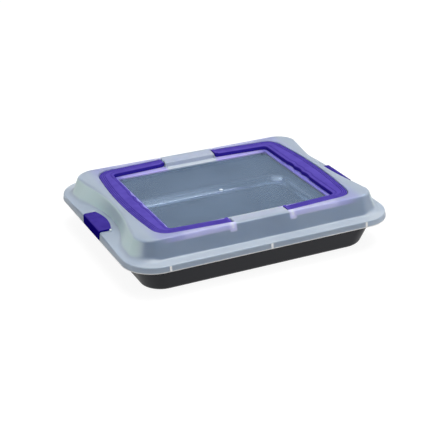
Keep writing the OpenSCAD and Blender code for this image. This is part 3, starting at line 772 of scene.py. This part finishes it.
def buildPan(p):
    slope = math.radians(p["wallAngle"])

    def wallOut(z):
        # how far the sloping wall has run out from the floor's edge at height z
        climb = z - p["floorEdgeR"] * (1 - math.sin(slope))
        return p["floorEdgeR"] * math.cos(slope) + climb * math.tan(slope)

    run = wallOut(p["height"] - p["sheet"])
    floorX, floorY = p["rimX"] - p["rimW"] - run, p["rimY"] - p["rimW"] - run

    def ring(out, z):
        # the profile's point carried round a rounded rectangle
        r = mix(p["floorR"], p["mouthR"], max(out, 0) / run)
        hx, hy = floorX + out, floorY + out
        sideY = np.linspace(0, hy - r, p["flatSteps"], endpoint=False)
        quarter = np.concatenate([np.stack([np.full(p["flatSteps"], hx), sideY], 1),
                                  arc(hx - r, hy - r, r, 0, 90, p["cornerSteps"]), [[hx * 0.4, hy]]])
        return lift(whole(quarter), z)

    inside = p["sheet"] / math.cos(slope)
    bead = (run + p["rimW"] - p["beadR"], p["height"] - p["beadR"])
    start = 180 - math.degrees(math.asin((p["beadR"] - p["sheet"]) / p["beadR"]))
    edge, wallEnd, steps = p["floorEdgeR"], 360 - p["wallAngle"], p["flatSteps"]
    top = p["height"]
    # out under the floor, up the wall, out under the rim, round its bead, and back over it all
    profile = np.concatenate([
        [[-p["floorIn"], 0]], arc(0, edge, edge, 270, wallEnd, steps),
        [[wallOut(top - 4), top - 4], [wallOut(top - 2.2), top - 2.2], [run + 0.4, top - 1.2],
         [run + 1.6, top - 0.62], [run + 2.4, top - p["sheet"]]],
        arc(bead[0], bead[1], p["beadR"], start, 450, p["beadSteps"]),
        [[run + 2, top], [run + 0.9, top - 0.1], [wallOut(top - 1.4) - inside + 0.25, top - 0.9],
         [wallOut(top - 3) - inside, top - 3]],
        arc(0, edge, edge - p["sheet"], wallEnd, 270, steps), [[-p["floorIn"], p["sheet"]]]])
    return loftMesh("coatedPan", [ring(out, z) for out, z in profile])


panPiece = buildPan(pan)
fixNormals(panPiece)
finish(panPiece, panMaterial, "pan", "base", 40)


def mirroredEdge(points):
    return points[::-1] * [1, -1]


def handleEdges(h):
    # outer and inner edge of the right handle, station by station, from the back hinge round to the front one
    innerY = armOut(h["gripIn"]) - h["armW"]
    start = h["gripIn"] - h["innerCorner"]
    innerBend = bend((start, armOut(start) - h["armW"]), (h["gripIn"], innerY),
                     (h["gripIn"], innerY - h["innerCorner"]), bendSteps)
    # close stations by the hinge, where the hollow underside begins
    first = h["hingeX"] + np.array([0, 3, 5, 5.6])
    armFrom, armStations = h["hingeX"] + 14, 9
    outerX = np.concatenate([first, np.linspace(armFrom, cornerStart, armStations)[:-1]])
    innerX = np.concatenate([first, np.linspace(armFrom, start, armStations)[:-1]])
    outerBack = np.concatenate([np.stack([outerX, armOut(outerX)], 1), outerBend])
    innerBack = np.concatenate([np.stack([innerX, armOut(innerX) - h["armW"]], 1), innerBend])
    top, half = innerY - h["innerCorner"], h["scallops"] / 2 * h["pitch"]
    y = np.concatenate([np.linspace(top, half, 11)[1:], np.linspace(half, -half, 43)[1:],
                        np.linspace(-half, -top, 11)[1:-1]])
    # each scallop is half a sine wave
    bite = np.where(np.abs(y) < half, h["scallop"] * np.abs(np.sin(np.pi * (y + half) / h["pitch"])), 0)
    share = cornerY / top
    outerGrip, innerGrip = np.stack([gripEdge(y * share), y * share], 1), np.stack([h["gripIn"] + bite, y], 1)
    return (np.concatenate([outerBack, outerGrip, mirroredEdge(outerBack)]),
            np.concatenate([innerBack, innerGrip, mirroredEdge(innerBack)]))


def handleSection(h):
    # points round the handle's section: side (0 outer, 1 inner), distance in from it, depth below the top,
    # and 1 in the hollow underside. Grooves run along the outer side, and a deeper line along the inner one,
    # with the edge beyond it lower
    line, deep, wall = h["lineIn"], h["grooveD"], h["wall"]
    return [
        (0, 0, 7, 0), (0, 0, 2.2, 0), (0, 0.2, 1.4, 0), (0, 0.7, 0.75, 0), (0, 1.5, 0.35, 0),
        (0, 1.9, 0.1, 0),
        *[(0, groove + far, depth, 0) for groove in h["grooves"]
          for far, depth in ((-0.8, 0.04), (-0.5, 0.1), (-0.1, deep), (0.1, deep), (0.5, 0.1), (0.8, 0.04))],
        (1, line + 1.4, 0.1, 0), (1, line + 1.1, 0.2, 0), (1, line + 0.2, 0.6 + deep, 0),
        (1, line - 0.4, 0.6 + deep, 0), (1, line - 1.1, 0.65, 0), (1, line - 1.5, 0.65, 0),
        (1, 1.8, 0.9, 0), (1, 0.8, 1.3, 0), (1, 0.2, 1.9, 0), (1, 0, 2.5, 0), (1, 0, 7, 0),
        (1, wall, 7, 0), (1, wall + 0.3, 3, 1), (0, wall + 0.6, 2.2, 1), (0, wall, 7, 0)]


def handleShell(h, top, name, sx):
    # the section carried from station to station; the first and last few are solid down to the underside
    outer, inner = handleEdges(h)
    count = len(outer)
    solid = np.minimum(np.arange(count), count - 1 - np.arange(count)) < 3
    way = inner - outer
    way = way / np.linalg.norm(way, axis=1, keepdims=True)
    columns = []
    for side, far, depth, hollow in handleSection(h):
        flat = inner - way * far if side else outer + way * far
        columns.append(lift(flat, top - np.where(solid & (hollow == 1), h["thick"], depth)))
    return loftMesh(name, list(np.stack(columns, 1) * [sx, 1, 1]))


def handleRib(h, top, name, acrossX, alongY):
    (x0, x1), (upper, lower) = sorted(acrossX), h["ribDrop"]
    return loftMesh(name, boxRings((x0, alongY[0], top - lower), (x1, alongY[1], top - upper)))


def armParts(h, top, sx, sy):
    # the knuckle, the square end over it, the pin, and the ribs under one arm
    x, y = sx * h["hingeX"], h["hingeY"]
    near, far = sorted((sx * (h["hingeX"] - h["armStart"]), sx * (h["hingeX"] + 1)))
    low, high = sorted((sy * (y - h["armW"]), sy * y))
    parts = [
        loftMesh("knuckle", rodRings((x, sy * (y - h["armW"] / 2), h["hingeZ"]),
                                     h["knuckleR"], h["armW"], 0.5)),
        loftMesh("arm end", boxRings((near, low, h["hingeZ"]), (far, high, top - h["armEndDrop"]))),
        loftMesh("pin", rodRings((x, sy * (y + (h["pinLen"] - 1) / 2), h["hingeZ"]),
                                 h["pinR"], h["pinLen"] + 1, 0.4))]
    half = (h["armW"] - 2 * h["wall"] + 1) / 2
    for ribX in np.arange(h["hingeX"] + h["ribPitch"], h["gripIn"] - h["ribPitch"] / 2, h["ribPitch"]):
        centre = sy * (armOut(ribX) - h["armW"] / 2)
        parts.append(handleRib(h, top, "arm rib", (sx * ribX - h["ribT"] / 2, sx * ribX + h["ribT"] / 2),
                               (centre - half, centre + half)))
    return parts


def gripRib(h, top, sx, y):
    inner, outer = h["gripIn"] + h["wall"] - 0.6, gripEdge(y) - h["wall"] + 0.4
    return handleRib(h, top, "grip rib", (sx * inner, sx * outer), (y - h["ribT"] / 2, y + h["ribT"] / 2))


def buildHandle(h, top, name, sx):
    shell = handleShell(h, top, name, sx)
    parts = armParts(h, top, sx, -1) + armParts(h, top, sx, 1)
    for k in np.arange(-h["scallops"] / 2, h["scallops"] / 2 + 1):
        parts.append(gripRib(h, top, sx, k * h["pitch"]))
    for part in [shell] + parts:
        fixNormals(part)
    return joinMeshes(shell, parts, name)


def softenedClip(node, name, c):
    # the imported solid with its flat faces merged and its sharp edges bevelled
    obj = bpy.data.objects.new(name, nodes[node].data.copy())
    scene.collection.objects.link(obj)
    bm = bmesh.new()
    bm.from_mesh(obj.data)
    bmesh.ops.remove_doubles(bm, verts=bm.verts, dist=1e-6)
    bmesh.ops.dissolve_limit(bm, angle_limit=math.radians(0.5), verts=bm.verts, edges=bm.edges)
    bmesh.ops.recalc_face_normals(bm, faces=bm.faces)
    bm.to_mesh(obj.data)
    bm.free()
    bevel = obj.modifiers.new("softened edge", "BEVEL")
    bevel.width = c["softR"] / 1000
    bevel.segments = c["softSteps"]
    bevel.limit_method = "ANGLE"
    bevel.angle_limit = math.radians(c["softAngle"])
    return obj


for side, sx in (("left", -1), ("right", 1)):
    piece = buildHandle(handle, lid["topZ"], side + "Handle", sx)
    finish(piece, handleMaterial, side + "_handle", side + "_handle", 40)
    piece = softenedClip(side + "_clip", side + "Clip", clip)
    finish(piece, clipMaterial, side + "_clip", side + "_clip")


studio = {
    "floorPaint": "#747474",   # what the object is lit by
    "floorGlow": 0.90,         # what only the camera, reflections and clear plastic see on top of it
    "floorHalf": 6.0,          # m
    "floorGap": 0.0002,        # m that the floor lies below the object
    "white": "#FFFFFF",
    "world": 0.38,
    "lamps": [                 # name, place, what it points at (m), size (m), watts
        ("topSoftbox", (0.12, -0.35, 1.9), (0, 0, 0.05), (1.6, 1.6), 38),
        ("rightFill", (2.0, -1.1, 0.5), (0, 0, 0.05), (1.0, 1.0), 13),
        ("leftFill", (-2.1, -0.9, 0.6), (0, 0, 0.05), (1.0, 1.0), 7),
    ],
}


def seenDirectly(tree):
    # 1 where the camera, a reflection or the clear plastic looks at it
    path = addNode(tree, "ShaderNodeLightPath").outputs
    seen = path["Is Camera Ray"]
    for ray in ("Is Glossy Ray", "Is Transmission Ray"):
        seen = addNode(tree, "ShaderNodeMath", {0: seen, 1: path[ray]}, operation="MAXIMUM").outputs[0]
    return seen


def makeStage(s):
    # white where the camera, a reflection or the clear plastic sees it, and it keeps the object's shadow
    material, tree = startMaterial("white studio floor")[:2]
    glow = addNode(tree, "ShaderNodeEmission", {"Color": srgb(s["white"]), "Strength": s["floorGlow"]})
    paint = addNode(tree, "ShaderNodeBsdfDiffuse", {"Color": srgb(s["floorPaint"])})
    both = addNode(tree, "ShaderNodeAddShader", {0: paint.outputs[0], 1: glow.outputs[0]})
    endMaterial(tree, addNode(tree, "ShaderNodeMixShader", {
        0: seenDirectly(tree), 1: paint.outputs[0], 2: both.outputs[0]}))
    corners = lift(s["floorHalf"] * np.array([[-1, -1], [1, -1], [1, 1], [-1, 1]]), -s["floorGap"])
    mesh = bpy.data.meshes.new("floor")
    mesh.from_pydata(corners.tolist(), [], [(0, 1, 2, 3)])
    mesh.materials.append(material)
    floor = bpy.data.objects.new("floor", mesh)
    scene.collection.objects.link(floor)


def makeWorld(s):
    # plain soft light on the object, and white where the camera, a reflection or the clear plastic sees it
    world = bpy.data.worlds.new("studio")
    world.use_nodes = True
    tree = world.node_tree
    tree.nodes.clear()
    soft = addNode(tree, "ShaderNodeBackground", {"Color": srgb(s["white"]), "Strength": s["world"]})
    bright = addNode(tree, "ShaderNodeBackground", {"Color": srgb(s["white"]), "Strength": 1.0})
    mixed = addNode(tree, "ShaderNodeMixShader", {
        0: seenDirectly(tree), 1: soft.outputs[0], 2: bright.outputs[0]})
    addNode(tree, "ShaderNodeOutputWorld", {"Surface": mixed.outputs[0]})
    scene.world = world


def makeLamp(name, place, aim, size, power):
    data = bpy.data.lights.new(name, "AREA")
    data.shape = "RECTANGLE"
    data.size, data.size_y = size
    data.energy = power
    lamp = bpy.data.objects.new(name, data)
    scene.collection.objects.link(lamp)
    direction = Vector(aim) - Vector(place)
    lamp.location = place
    lamp.rotation_euler = direction.to_track_quat("-Z", "Y").to_euler()


makeStage(studio)
makeWorld(studio)
for lamp in studio["lamps"]:
    makeLamp(*lamp)
print("stage and lamps made")
